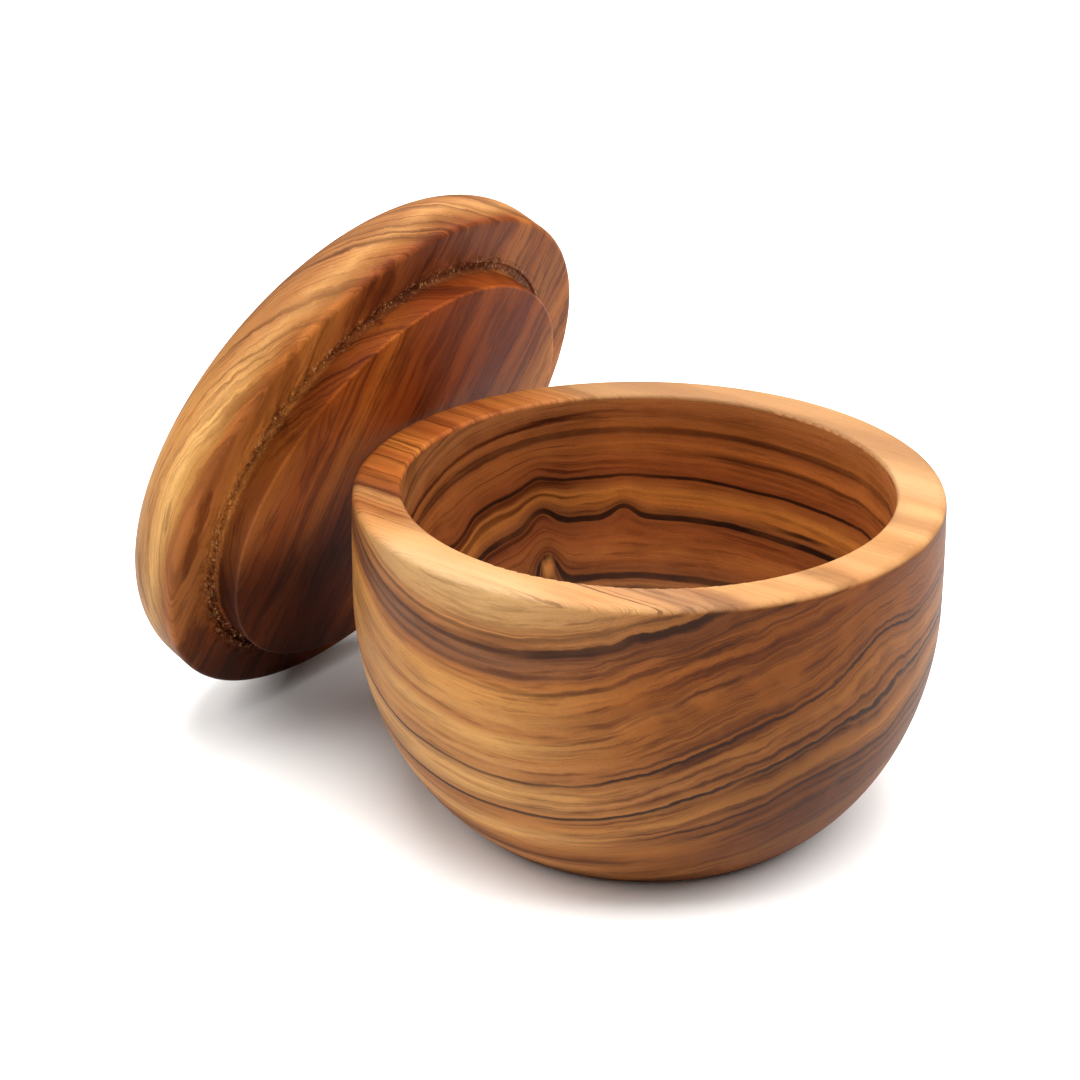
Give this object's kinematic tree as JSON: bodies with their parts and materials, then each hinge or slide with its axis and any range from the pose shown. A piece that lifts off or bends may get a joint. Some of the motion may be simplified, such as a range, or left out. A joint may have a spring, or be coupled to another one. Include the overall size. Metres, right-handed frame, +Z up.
{
  "type": "shaving mug",
  "caption": "Turned olive-wood shaving bowl with straight mouth and rounded well, its domed spigot lid standing on edge and leaning against the rim.",
  "frame": {"origin": "centre of the bowl's flat base, on the surface that the bowl stands on", "axes": "+Z up along the bowl's turning axis, +X away from the side where the lid leans, +Y completes the right-handed frame"},
  "size_m": [0.1418, 0.104, 0.0985],
  "materials": {
    "bowl_wood": "satin oiled olive wood, golden brown with dark veins",
    "lid_wood": "satin oiled olive wood, reddish brown with broad soft bands"
  },
  "bodies": {
    "bowl": {"bowl": "bowl_wood"},
    "lid": {"lid": "lid_wood"}
  },
  "joints": [
    {"name": "lid_lift", "type": "slide", "parent": "bowl", "child": "lid", "axis": [-0.9225, 0, 0.3859], "range_m": [0, 0.06]}
  ]
}
